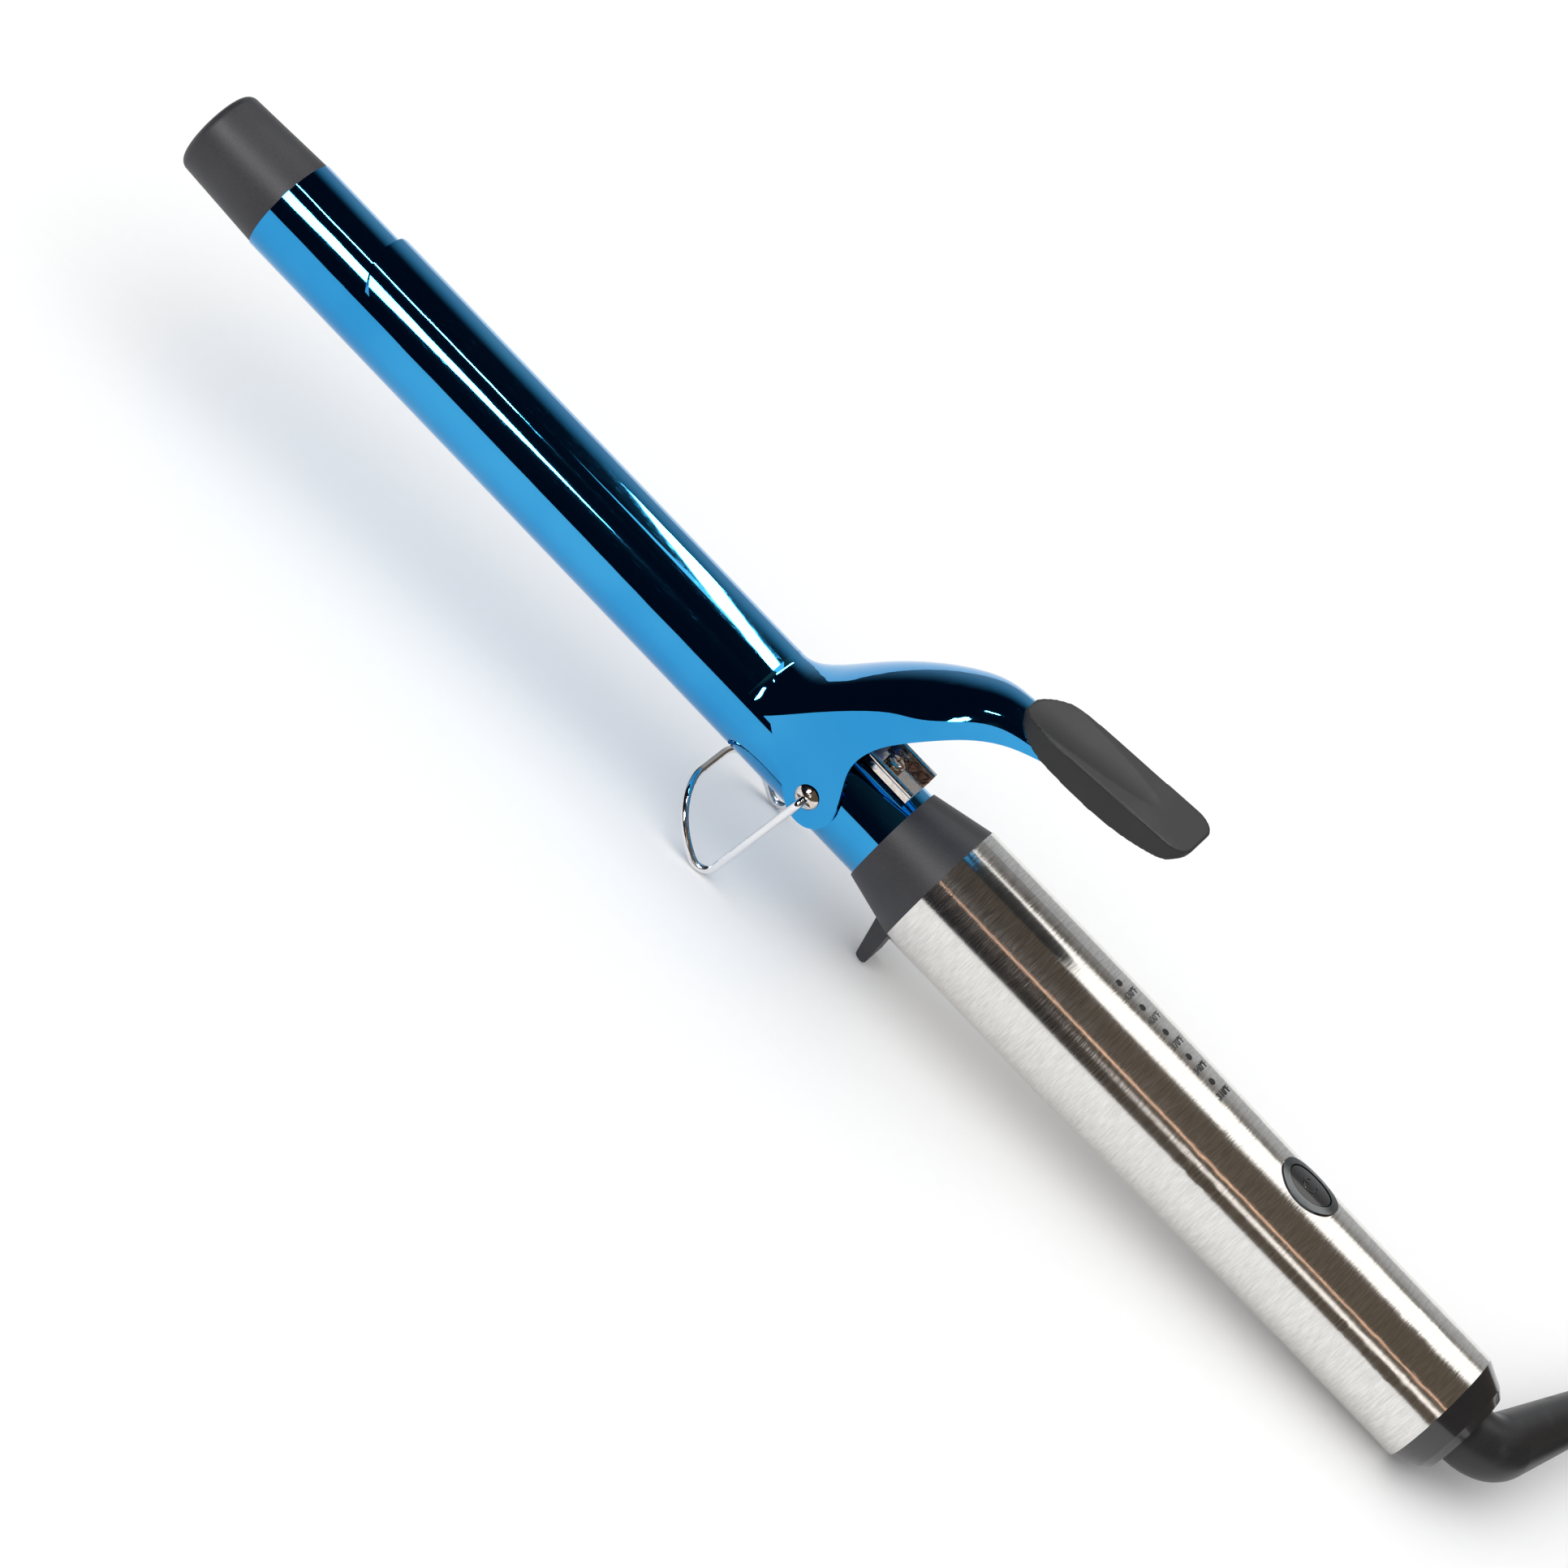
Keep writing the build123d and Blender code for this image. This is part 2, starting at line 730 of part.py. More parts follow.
with BuildPart() as plug_blades:
    with BuildSketch(plug_across.offset(37)):
        with Locations((-6.35, 0), (6.35, 0)):
            Rectangle(1.5, 6.4)
    extrude(amount=16)
keep(plug_blades, "plug_blades")

# ---------------------------------------------------------------- files
os.makedirs("parts", exist_ok=True)
for piece in finished:
    export_step(piece, f"parts/{piece.label}.step")
    box = piece.bounding_box()
    print(piece.label, round(piece.volume), [round(v, 1) for v in (*box.min, *box.max)])
print(len(finished), "pieces")
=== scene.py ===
from math import cos, pi, radians, sin

import bpy
from mathutils import Matrix, Vector


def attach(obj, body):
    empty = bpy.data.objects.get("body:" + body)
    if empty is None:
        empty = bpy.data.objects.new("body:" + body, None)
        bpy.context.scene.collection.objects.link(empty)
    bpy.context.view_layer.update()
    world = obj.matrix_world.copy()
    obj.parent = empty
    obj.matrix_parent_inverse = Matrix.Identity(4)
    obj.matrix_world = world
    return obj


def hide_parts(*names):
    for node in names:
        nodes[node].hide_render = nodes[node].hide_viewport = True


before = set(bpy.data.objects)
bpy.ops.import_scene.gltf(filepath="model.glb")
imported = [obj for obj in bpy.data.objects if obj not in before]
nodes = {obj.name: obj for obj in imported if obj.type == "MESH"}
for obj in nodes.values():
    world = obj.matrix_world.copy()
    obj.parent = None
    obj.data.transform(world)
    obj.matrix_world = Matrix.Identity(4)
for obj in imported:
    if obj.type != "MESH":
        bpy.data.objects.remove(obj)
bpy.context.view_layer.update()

# Stance and camera
# The iron leans back on its wire stand and the end of its handle, the tip raised. The camera looks down
# on its near side from a little above, rolled so that the barrel runs from the top left.
lean = radians(4.72)
along = Vector((cos(lean), 0, -sin(lean)))
across = Vector((0, 1, 0))
upright = Vector((sin(lean), 0, cos(lean)))
pivot = Vector((0.0004, 0, 0.0321))


def at(x, y, z):
    """A point of the iron's own coordinates in millimetres, in the room's in metres."""
    return pivot + (along * x + across * y + upright * z) / 1000


def turned_from(x_axis, y_axis, z_axis, origin):
    """The matrix of three axes and an origin."""
    matrix = Matrix((x_axis, y_axis, z_axis)).transposed().to_4x4()
    matrix.translation = origin
    return matrix


swing = radians(3.7)
look_down = radians(36)
roll = radians(46.277)
camera_distance = 1.247
aim_along, aim_over = -0.0065, -0.0099
towards = along * sin(swing) + (upright * sin(look_down) - across * cos(look_down)) * cos(swing)
over = across * sin(look_down) + upright * cos(look_down)
over = (over - towards * over.dot(towards)).normalized()
away = over.cross(towards)
image_right = away * cos(roll) + over * sin(roll)
image_up = over * cos(roll) - away * sin(roll)
target = pivot + away * aim_along + over * aim_over
camera_data = bpy.data.cameras.new("camera")
camera_data.lens = 125.4
camera_data.sensor_width = 36
camera = bpy.data.objects.new("camera", camera_data)
camera.matrix_world = turned_from(image_right, image_up, towards, target + towards * camera_distance)
bpy.context.collection.objects.link(camera)
bpy.context.scene.camera = camera

# Barrel and clamp
# Drawn steel tube and pressed steel clamp, both polished and plated a mirror blue that turns deeper
# where the plating is thicker. The clamp's clip and lever are one sheet.


class Signal:
    """A socket of a material's nodes. Sums and products of it add Math nodes."""

    def __init__(self, socket):
        self.socket = socket

    def node(self, kind, settings=None, values=None, out=0):
        """Adds a node beside this one and gives one of its outputs."""
        node = self.socket.id_data.nodes.new("ShaderNode" + kind)
        for name, value in (settings or {}).items():
            setattr(node, name, value)
        for name, value in (values or {}).items():
            feed(node.inputs[name], value)
        return Signal(node.outputs[out])

    def math(self, operation, *others):
        """One Math node on this signal and others."""
        return self.node("Math", {"operation": operation}, dict(enumerate((self, *others))))

    def __add__(self, other):
        return self.math("ADD", other)

    def __sub__(self, other):
        return self.math("SUBTRACT", other)

    def __rsub__(self, other):
        return (self * -1) + other

    def __mul__(self, other):
        return self.math("MULTIPLY", other)

    __radd__ = __add__
    __rmul__ = __mul__

    def step(self, low, high):
        """0 below low, 1 above high and smooth between."""
        return self.node("MapRange", {"interpolation_type": "SMOOTHSTEP"}, {0: self, 1: low, 2: high})

    def blend(self, first, second):
        """A colour between two, by this signal."""
        return self.node("Mix", {"data_type": "RGBA"}, {0: self, 6: first, 7: second}, 2)

    def along_iron(self, stretch):
        """This place turned into the iron's own axes and stretched."""
        turned = self.node("Mapping", {}, {"Vector": self, "Rotation": (0, -lean, 0)})
        return self.node("Mapping", {}, {"Vector": turned, "Scale": stretch})

    def noise(self, scale, detail=2.0):
        """Soft random patches at this place, scale of them to a metre."""
        return self.node("TexNoise", {}, {"Vector": self, "Scale": scale, "Detail": detail})

    def parts(self):
        """The three numbers of this vector."""
        split = self.node("SeparateXYZ", {}, {0: self}).socket.node
        return [Signal(output) for output in split.outputs]

    def bump(self, depth, strength=1.0):
        """This signal as a relief of depth metres."""
        return self.node("Bump", {}, {"Strength": strength, "Distance": depth, "Height": self})


def feed(socket, value):
    """Links a signal into a socket, or sets the socket's own value."""
    if isinstance(value, Signal):
        socket.id_data.links.new(socket, value.socket)
    elif hasattr(socket.default_value, "__len__") and len(value) < len(socket.default_value):
        socket.default_value = (*value, 1)
    else:
        socket.default_value = value


def finish(name, constants):
    """A new material: itself, its shader's sockets and the place on the piece."""
    material = bpy.data.materials.new(name)
    material.use_nodes = True
    inputs = material.node_tree.nodes["Principled BSDF"].inputs
    for socket, value in constants.items():
        feed(inputs[socket], value)
    place = Signal(material.node_tree.nodes.new("ShaderNodeTexCoord").outputs["Object"])
    return material, inputs, place


def dress(material, *names):
    """Gives CAD pieces their material."""
    for name in names:
        nodes[name].data.materials.clear()
        nodes[name].data.materials.append(material)


blue_plating, plating, place = finish("blue_plating", {"Metallic": 1.0})
thickness = place.noise(22, 3)
ripple = place.along_iron((0.35, 1, 1)).noise(160, 2)
rubbing = place.along_iron((0.12, 1, 1)).noise(2600, 4).step(0.55, 0.8)
feed(plating["Base Color"], thickness.step(0.3, 0.7).blend((0.030, 0.29, 0.62), (0.052, 0.36, 0.69)))
feed(plating["Roughness"], 0.035 + rubbing * 0.05)
feed(plating["Normal"], ripple.bump(0.000035))
dress(blue_plating, "barrel_tube", "clamp")

# Tip cap and ferrule
# Heat-proof black polyester, moulded with a fine spark-eroded grain and rubbed a little shinier at the
# tip where it is laid down. The ferrule covers the barrel's end and carries the rest foot below.
black_resin, resin, place = finish("black_resin", {"Specular IOR Level": 0.45})
grain = place.noise(2600, 3)
cloud = place.noise(45, 3)
tip_rub = (place.parts()[0] * -1).step(0.196, 0.208) * cloud.step(0.45, 0.65)
shade = (cloud * 0.5 + grain * 0.5).step(0.3, 0.7)
feed(resin["Base Color"], shade.blend((0.020, 0.020, 0.025), (0.034, 0.034, 0.041)))
feed(resin["Roughness"], 0.42 + grain * 0.16 - tip_rub * 0.12)
feed(resin["Normal"], grain.bump(0.00006, 0.5))
dress(black_resin, "tip_cap", "ferrule")

# Heater and its sensor
# White alumina plate with a printed track, and a glass-bodied sensor bonded on top.
# Glass-fibre sleeved leads run back from them into the handle.
ceramic, alumina, place = finish("ceramic", {"Roughness": 0.6})
mottle = place.noise(900, 3).step(0.3, 0.7)
feed(alumina["Base Color"], mottle.blend((0.72, 0.70, 0.66), (0.82, 0.81, 0.78)))
feed(alumina["Normal"], place.noise(3000).bump(0.00002))
dress(ceramic, "heater_element", "thermistor")

lead_insulation, sleeve, place = finish("lead_insulation", {})
braid_place = place.along_iron((1, 2.5, 2.5))
braid = braid_place.node(
    "TexWave", {"bands_direction": "DIAGONAL"}, {"Vector": braid_place, "Scale": 420, "Distortion": 1.0}, 1
)
feed(sleeve["Base Color"], braid.blend((0.55, 0.50, 0.42), (0.78, 0.75, 0.68)))
feed(sleeve["Roughness"], 0.75 + braid * 0.1)
feed(sleeve["Normal"], braid.bump(0.00008))
dress(lead_insulation, "heater_leads", "supply_leads")

# Heat spreaders
# Extruded aluminium half rounds that press the heater against the barrel's bore.
# They keep the die's lines along their length.
aluminium, extrusion, place = finish("aluminium", {"Metallic": 1.0})
die_lines = place.along_iron((0.05, 1, 1)).noise(3500, 3)
feed(extrusion["Base Color"], die_lines.blend((0.60, 0.61, 0.62), (0.80, 0.80, 0.80)))
feed(extrusion["Roughness"], 0.28 + die_lines * 0.18)
feed(extrusion["Normal"], die_lines.bump(0.00003))
dress(aluminium, "heat_spreader_upper", "heat_spreader_lower")

# Brass inserts and slip rings
# Turned brass: hexagonal nuts pressed into the barrel for the pivot screws,
# and two rings that feed the swivelling cord.
brass, turned_brass, place = finish("brass", {"Metallic": 1.0})
tarnish = place.noise(260, 4)
feed(turned_brass["Base Color"], tarnish.step(0.35, 0.7).blend((0.72, 0.50, 0.20), (0.52, 0.34, 0.13)))
feed(turned_brass["Roughness"], 0.2 + tarnish * 0.2)
feed(turned_brass["Normal"], place.along_iron((1, 0.05, 0.05)).noise(4000).bump(0.00002))
dress(brass, "pivot_inserts", "slip_rings")

# Screws, spring bracket and spring
# Nickel-plated steel: domed cross-head screws and a bracket folded from strip, dulled by driver marks.
# The spring is a leaf of rolled steel that lies in the bracket and folds back up to the lever.
nickel_steel, nickel, place = finish("nickel_steel", {"Metallic": 1.0})
marks = place.noise(1300, 4)
feed(nickel["Base Color"], marks.step(0.35, 0.75).blend((0.78, 0.72, 0.67), (0.60, 0.53, 0.48)))
feed(nickel["Roughness"], 0.08 + marks.step(0.4, 0.8) * 0.16)
feed(nickel["Normal"], place.noise(900, 3).bump(0.00005, 0.6))
dress(nickel_steel, "pivot_screws", "thumb_rest_screw", "spring_bracket", "bracket_screw", "board_screws")

spring_steel, leaf, place = finish("spring_steel", {"Metallic": 1.0})
rolled = place.along_iron((1, 0.05, 1)).noise(3000, 3)
feed(leaf["Base Color"], rolled.blend((0.30, 0.30, 0.32), (0.50, 0.49, 0.48)))
feed(leaf["Roughness"], 0.2 + rolled * 0.2)
feed(leaf["Normal"], rolled.bump(0.00002))
dress(spring_steel, "return_spring")

# Stand wire
# Chromed round steel wire, bent into a bow that hinges in the hollow screw heads.
# The chrome shows faint drawing lines and worn, duller feet.
chrome_wire, chrome, place = finish("chrome_wire", {"Metallic": 1.0})
drawing = place.noise(1500, 3)
worn_feet = 1 - place.parts()[2].step(0.001, 0.004)
feed(chrome["Base Color"], drawing.blend((0.76, 0.76, 0.78), (0.88, 0.88, 0.89)))
feed(chrome["Roughness"], 0.05 + drawing * 0.05 + worn_feet * 0.2)
feed(chrome["Normal"], place.noise(500, 2).bump(0.00003))
dress(chrome_wire, "stand_wire")

# Thumb rest
# Glass-filled nylon spoon with soft moulded edges, screwed on top of the lever.
# Its dish has a fine matt grain, polished a little by the thumb.
rest_resin, nylon, place = finish("rest_resin", {"Specular IOR Level": 0.4})
grain = place.noise(3200, 3)
thumb_polish = place.noise(70, 2)
shade = grain * 0.6 + thumb_polish * 0.4
feed(nylon["Base Color"], shade.blend((0.009, 0.009, 0.010), (0.020, 0.020, 0.021)))
feed(nylon["Roughness"], 0.46 + grain * 0.14 - thumb_polish.step(0.5, 0.75) * 0.06)
feed(nylon["Normal"], grain.bump(0.00004, 0.4))


def alone(piece):
    """Selects one object and nothing else."""
    bpy.ops.object.select_all(action="DESELECT")
    piece.select_set(True)
    bpy.context.view_layer.objects.active = piece


def modify(piece, kind, **settings):
    """Adds a modifier to a piece and applies it."""
    alone(piece)
    modifier = piece.modifiers.new(kind.title(), kind)
    for name, value in settings.items():
        setattr(modifier, name, value)
    bpy.ops.object.modifier_apply(modifier=modifier.name)


def complete(piece, name, material, body):
    """Names a new piece, applies its place to its mesh, smooths it, dresses it and rides it on its body."""
    piece.name = name
    alone(piece)
    bpy.ops.object.transform_apply(location=True, rotation=True, scale=True)
    bpy.ops.object.shade_smooth_by_angle(angle=radians(38))
    piece.data.materials.clear()
    piece.data.materials.append(material)
    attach(piece, body)


rest_voxel = 0.00035
rest_softening = 5
spoon = bpy.data.objects.new("thumb_spoon", nodes["thumb_rest"].data.copy())
bpy.context.collection.objects.link(spoon)
spoon.matrix_world = nodes["thumb_rest"].matrix_world.copy()
modify(spoon, "WELD", merge_threshold=0.00001)
modify(spoon, "REMESH", mode="VOXEL", voxel_size=rest_voxel, use_smooth_shade=True)
modify(spoon, "SMOOTH", factor=0.5, iterations=rest_softening)
complete(spoon, "thumb_spoon", rest_resin, "clamp_lever")
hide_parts("thumb_rest")

# Handle sleeve
# Thin stainless tube, brushed around its girth so that lights break into short cross strokes, with a
# faint satin sparkle.
brushed_steel, steel, place = finish("brushed_steel", {"Metallic": 1.0, "Anisotropic": 0.2})
strokes = place.along_iron((1, 0.10, 0.10)).noise(2400, 5)
sparkle = place.noise(3600, 2)
handling = place.noise(30, 3)
relief = strokes * 0.7 + sparkle * 0.3
feed(steel["Base Color"], relief.step(0.25, 0.75).blend((0.62, 0.60, 0.57), (0.84, 0.83, 0.81)))
feed(steel["Roughness"], 0.05 + strokes * 0.12 + handling * 0.05)
feed(steel["Normal"], relief.bump(0.00003, 0.7))
dress(brushed_steel, "handle_sleeve")

# Temperature marks
# Five settings printed in black ink beside the lights, in degrees, running around the handle.
# The ink is a hair thick and slightly broken.
ink, ink_inputs, place = finish("ink", {})
wear = place.noise(5000, 2)
feed(ink_inputs["Base Color"], wear.blend((0.006, 0.006, 0.007), (0.05, 0.05, 0.052)))
feed(ink_inputs["Roughness"], 0.45 + wear * 0.2)
first_light = 79.0
light_spacing = 7.6
mark_offset = 3.6
mark_shift = 0.6
ink_depth = 0.06
mark_radii = [16.97, 16.88, 16.81, 16.72, 16.63]
for n, radius in enumerate(mark_radii):
    x = first_light + light_spacing * n + mark_offset
    degrees = str(430 - 30 * n)
    bpy.ops.object.select_all(action="DESELECT")
    bpy.ops.object.text_add()
    mark = bpy.context.object
    mark.data.body = degrees + "°F"
    mark.data.size = 2.5
    mark.data.align_x = "CENTER"
    mark.data.align_y = "CENTER"
    mark.data.extrude = ink_depth
    mark.data.offset = 0.03
    mark.data.resolution_u = 3
    alone(mark)
    bpy.ops.object.convert(target="MESH")
    mark = bpy.context.object
    for vertex in mark.data.vertices:
        around = (vertex.co.x + mark_shift) / radius
        reach = radius + ink_depth / 3 + vertex.co.z
        vertex.co = at(x - vertex.co.y, reach * sin(around), reach * cos(around))
    complete(mark, "mark_" + degrees, ink, "iron")

# Inside the handle
# Two moulded half shells hold the board by its posts. The board is green glass laminate with tinned
# tracks; the relay and switch are glossy black blocks.
core_resin, shell, place = finish("core_resin", {})
grain = place.noise(2200, 3)
feed(shell["Base Color"], grain.blend((0.03, 0.03, 0.032), (0.055, 0.055, 0.058)))
feed(shell["Roughness"], 0.5 + grain * 0.15)
feed(shell["Normal"], grain.bump(0.00004, 0.5))
dress(core_resin, "core_upper", "core_lower")

circuit_laminate, laminate, place = finish("circuit_laminate", {})
track_place = place.along_iron((1, 1, 1))
tracks = track_place.node("TexBrick", {}, {"Vector": track_place, "Scale": 130, "Mortar Size": 0.06}, 1)
feed(laminate["Base Color"], tracks.blend((0.01, 0.09, 0.03), (0.05, 0.20, 0.08)))
feed(laminate["Roughness"], 0.3 + place.noise(800) * 0.2)
feed(laminate["Normal"], tracks.bump(0.00004))
dress(circuit_laminate, "circuit_board")

# Glossy black mouldings
# High-gloss black plastic: the end cap, the push button and, inside, the relay and switch.
# Faint flow ripple and hairline handling scratches.
gloss_black, gloss, place = finish("gloss_black", {"Coat Roughness": 0.05})
flow = place.noise(90, 3)
hairlines = place.along_iron((1, 0.06, 0.06)).noise(2600, 4).step(0.62, 0.8)
feed(gloss["Base Color"], flow.blend((0.008, 0.008, 0.009), (0.020, 0.020, 0.022)))
feed(gloss["Roughness"], 0.14 + flow * 0.08 + hairlines * 0.12)
feed(gloss["Coat Weight"], 0.6 - hairlines * 0.4)
feed(gloss["Normal"], flow.bump(0.00008, 0.5))
dress(gloss_black, "power_relay", "power_switch", "power_button", "end_cap")

# Indicator lights
# Smoked clear rods over surface-mounted diodes, unlit and dark from outside.
# Their ends stand a hair proud of the sleeve.
clear_lens, lens, place = finish("clear_lens", {"IOR": 1.49, "Coat Weight": 0.5})
smoke = place.noise(1500, 2)
feed(lens["Base Color"], smoke.blend((0.004, 0.004, 0.005), (0.018, 0.016, 0.015)))
feed(lens["Roughness"], 0.08 + smoke * 0.1)
dress(clear_lens, "indicator_leds", "indicator_lenses")

# Button surround and power sign
# A dark plated oval ring around the button, patchily rubbed, and lighter in colour towards its highest rim.
# The sign is a broken circle and a bar raised on the button in glossy plastic.
gunmetal, ring, place = finish("gunmetal", {"Metallic": 1.0})
rub = place.noise(700, 3)
bezel_rim = 0.0470, 0.0482
proud = place.along_iron((1, 1, 1)).parts()[2].step(*bezel_rim)
feed(ring["Base Color"], (rub * 0.3 + proud * 0.7).blend((0.03, 0.033, 0.036), (0.16, 0.17, 0.175)))
feed(ring["Roughness"], 0.16 + rub * 0.14)
feed(ring["Normal"], rub.bump(0.00003))
dress(gunmetal, "button_bezel")


def strand(name, points, radius, material, body):
    """A thin moulded rib along points, with closed ends."""
    data = bpy.data.curves.new(name, "CURVE")
    data.dimensions = "3D"
    data.bevel_depth = radius
    data.bevel_resolution = 3
    data.use_fill_caps = True
    spline = data.splines.new("POLY")
    spline.points.add(len(points) - 1)
    for point, spot in zip(spline.points, points):
        point.co = (*spot, 1)
    rib = bpy.data.objects.new(name, data)
    bpy.context.collection.objects.link(rib)
    alone(rib)
    bpy.ops.object.convert(target="MESH")
    complete(bpy.context.object, name, material, body)


button_middle = 141.6
button_crown = 16.43


def on_button(x, y):
    """A point on the button's crown."""
    return at(button_middle + x, y, (button_crown**2 - y**2) ** 0.5)


sign_line = 0.00022
sign_steps = 28
arc = [radians(125 + 290 * n / sign_steps) for n in range(sign_steps + 1)]
circle = [on_button(1.9 * cos(angle), 1.9 * sin(angle)) for angle in arc]
bar = [on_button(-2.3, 0), on_button(-0.5, 0)]
strand("sign_ring", circle, sign_line, gloss_black, "button")
strand("sign_bar", bar, sign_line, gloss_black, "button")

# Mains lead
# Round two-core lead with a smooth PVC jacket. It leaves the swivelling gland, drops to the table and is
# wound into a tied coil of eight turns, ending in a moulded two-pin plug.
soft_pvc, jacket, place = finish("soft_pvc", {"Specular IOR Level": 0.45})
grain = place.noise(2400, 3)
scuffs = place.noise(120, 4).step(0.55, 0.8)
shade = grain * 0.5 + scuffs * 0.5
feed(jacket["Base Color"], shade.blend((0.010, 0.010, 0.011), (0.034, 0.034, 0.036)))
feed(jacket["Roughness"], 0.34 + grain * 0.10 + scuffs * 0.14)
feed(jacket["Normal"], grain.bump(0.00004, 0.4))
dress(soft_pvc, "swivel_gland")
cord_r = 0.0035
gland_elbow = 212.5
relief_length = 0.0608
gland_turn = radians(72.5)
gland_way = along * cos(gland_turn) + across * sin(gland_turn)
gland_end = at(gland_elbow, 0, 0) + gland_way * relief_length
plug_start = Vector((0.3210, 0.0010, 0.0075))
coil_middle = Vector((0.2971, 0.0625, 0))
turn_radii = [0.0490, 0.0420, 0.0350, 0.0280]
turn_heights = [0.0043, 0.0113]
first_turn = radians(115)
last_turn = radians(10)
steps_a_turn = 16
crossing = 0.3


def coil_points():
    """The coil's centreline: four turns winding in along the table, four winding out on top of them."""
    points = []
    lower, upper = turn_heights
    whole = [(r, lower) for r in turn_radii] + [(r, upper) for r in reversed(turn_radii)]
    total = 2 * pi * len(whole) - (last_turn - first_turn) % (2 * pi)
    count = int(steps_a_turn * total / (2 * pi))
    for n in range(count + 1):
        turn = total * n / count
        wound = min(turn / (2 * pi), len(whole) - 1)
        low = int(wound)
        part = max(0.0, (wound - low - 1 + crossing) / crossing)
        nearer, farther = whole[low], whole[min(low + 1, len(whole) - 1)]
        radius = nearer[0] + (farther[0] - nearer[0]) * part
        height = nearer[1] + (farther[1] - nearer[1]) * part
        angle = first_turn - turn
        points.append(coil_middle + Vector((radius * cos(angle), radius * sin(angle), height)))
    return points


route = [
    gland_end,
    gland_end + gland_way * 0.015,
    Vector((0.2420, 0.0853, 0.0082)),
    Vector((0.2545, 0.0965, 0.0039)),
    Vector((0.2682, 0.1031, 0.0043)),
]
route += coil_points()
route += [
    Vector((0.3476, 0.0545, 0.0099)),
    Vector((0.3463, 0.0365, 0.0086)),
    Vector((0.3415, 0.0220, 0.0078)),
    Vector((0.3330, 0.0085, 0.0075)),
    plug_start,
]
lead_data = bpy.data.curves.new("mains_lead", "CURVE")
lead_data.dimensions = "3D"
lead_data.bevel_depth = cord_r
lead_data.bevel_resolution = 6
lead_data.use_fill_caps = True
lead_spline = lead_data.splines.new("NURBS")
lead_spline.points.add(len(route) - 1)
for point, spot in zip(lead_spline.points, route):
    point.co = (*spot, 1)
lead_spline.order_u = 3
lead_spline.use_endpoint_u = True
lead_spline.resolution_u = 4
mains_lead = bpy.data.objects.new("mains_lead", lead_data)
mains_lead.data.materials.append(soft_pvc)
bpy.context.collection.objects.link(mains_lead)
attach(mains_lead, "iron")
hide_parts("power_cord", "cord_coil", "cord_tail")

# Plug
# Two-pin plug moulded onto the lead in the same PVC: a ribbed neck that lets the lead bend, an oval grip
# that swells towards a flat face, and two nickelled brass blades.
plug_turn = radians(195)
plug_way = Vector((cos(plug_turn), sin(plug_turn), 0))
plug_side = Vector((sin(plug_turn), -cos(plug_turn), 0))
start_half = 4.2
# Stations of the plug: distance along it, half width and half height in millimetres
plug_stations = []
for n in range(6):
    half = 4.5 + 0.15 * n
    for distance, dip in ((0.3, 0), (1.2, 0), (1.4, 0.7), (1.7, 0.7)):
        plug_stations.append((distance + 1.5 * n, half - dip, half - dip))
plug_stations += [
    (10.5, 6.3, 5.9), (13.0, 8.6, 6.7), (16.0, 10.4, 7.2),
    (18.0, 10.9, 7.3), (18.3, 10.3, 6.7), (19.3, 10.3, 6.7), (19.6, 11.0, 7.3),
    (21.6, 11.2, 7.35), (21.9, 10.6, 6.8), (22.9, 10.6, 6.8), (23.2, 11.3, 7.4),
    (25.2, 11.4, 7.4), (25.5, 10.8, 6.85), (26.5, 10.8, 6.85), (26.8, 11.4, 7.4),
    (35.4, 11.4, 7.4), (36.6, 10.9, 6.9), (37.0, 10.2, 6.2),
]
bpy.ops.object.select_all(action="DESELECT")
bpy.ops.mesh.primitive_circle_add(vertices=48, radius=0.001, fill_type="NGON", location=(0, 0, 0))
plug = bpy.context.object
bpy.ops.object.mode_set(mode="EDIT")
bpy.ops.mesh.select_all(action="SELECT")
bpy.ops.mesh.flip_normals()
bpy.ops.transform.resize(value=(start_half, start_half, 1), center_override=(0, 0, 0))
reached = (0.0, start_half, start_half)
for distance, half_wide, half_high in plug_stations:
    step = (0, 0, (distance - reached[0]) / 1000)
    bpy.ops.mesh.extrude_region_move(TRANSFORM_OT_translate={"value": step})
    scale = (half_wide / reached[1], half_high / reached[2], 1)
    bpy.ops.transform.resize(value=scale, center_override=(0, 0, distance / 1000))
    reached = (distance, half_wide, half_high)
bpy.ops.mesh.select_all(action="SELECT")
bpy.ops.mesh.normals_make_consistent(inside=False)
bpy.ops.object.mode_set(mode="OBJECT")
plug.matrix_world = turned_from(plug_side, plug_way.cross(plug_side), plug_way, plug_start)
complete(plug, "moulded_plug", soft_pvc, "iron")
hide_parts("plug_body")

brass_nickel, blades, place = finish("brass_nickel", {"Metallic": 1.0})
wiping = place.noise(900, 4)
feed(blades["Base Color"], wiping.step(0.4, 0.75).blend((0.75, 0.73, 0.69), (0.62, 0.52, 0.34)))
feed(blades["Roughness"], 0.16 + wiping * 0.16)
feed(blades["Normal"], wiping.bump(0.00003))
dress(brass_nickel, "plug_blades")

